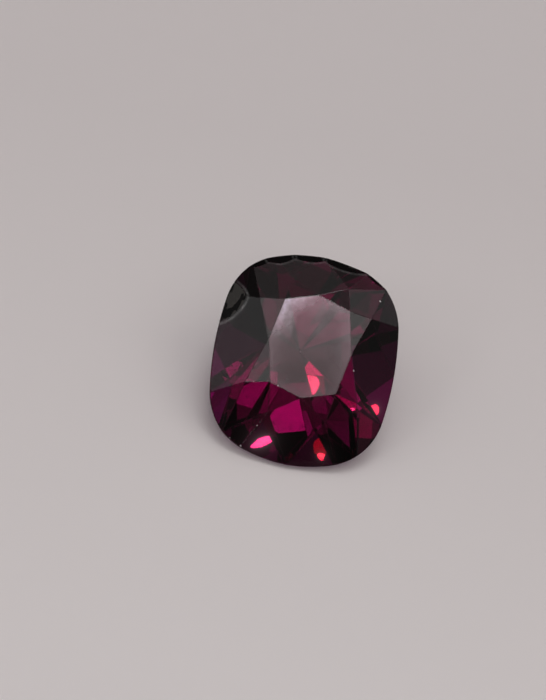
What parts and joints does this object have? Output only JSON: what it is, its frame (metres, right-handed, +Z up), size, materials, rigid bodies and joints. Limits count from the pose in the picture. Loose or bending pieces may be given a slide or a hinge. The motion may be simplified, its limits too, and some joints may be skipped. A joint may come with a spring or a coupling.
{
  "type": "spinel gemstone",
  "caption": "Loose cushion-cut spinel gemstone, clear deep purplish red, with a faceted crown and pavilion; it lies on a pavilion facet with its table tilted up.",
  "frame": {"origin": "on the surface the stone lies on, under the middle of its box", "axes": "+Z up from the surface; +X along the stone's width; the table leans up and towards -Y"},
  "size_m": [0.007, 0.0066, 0.0053],
  "materials": {
    "spinel": "polished"
  },
  "bodies": {
    "root": {"spinel": "spinel"}
  },
  "joints": []
}
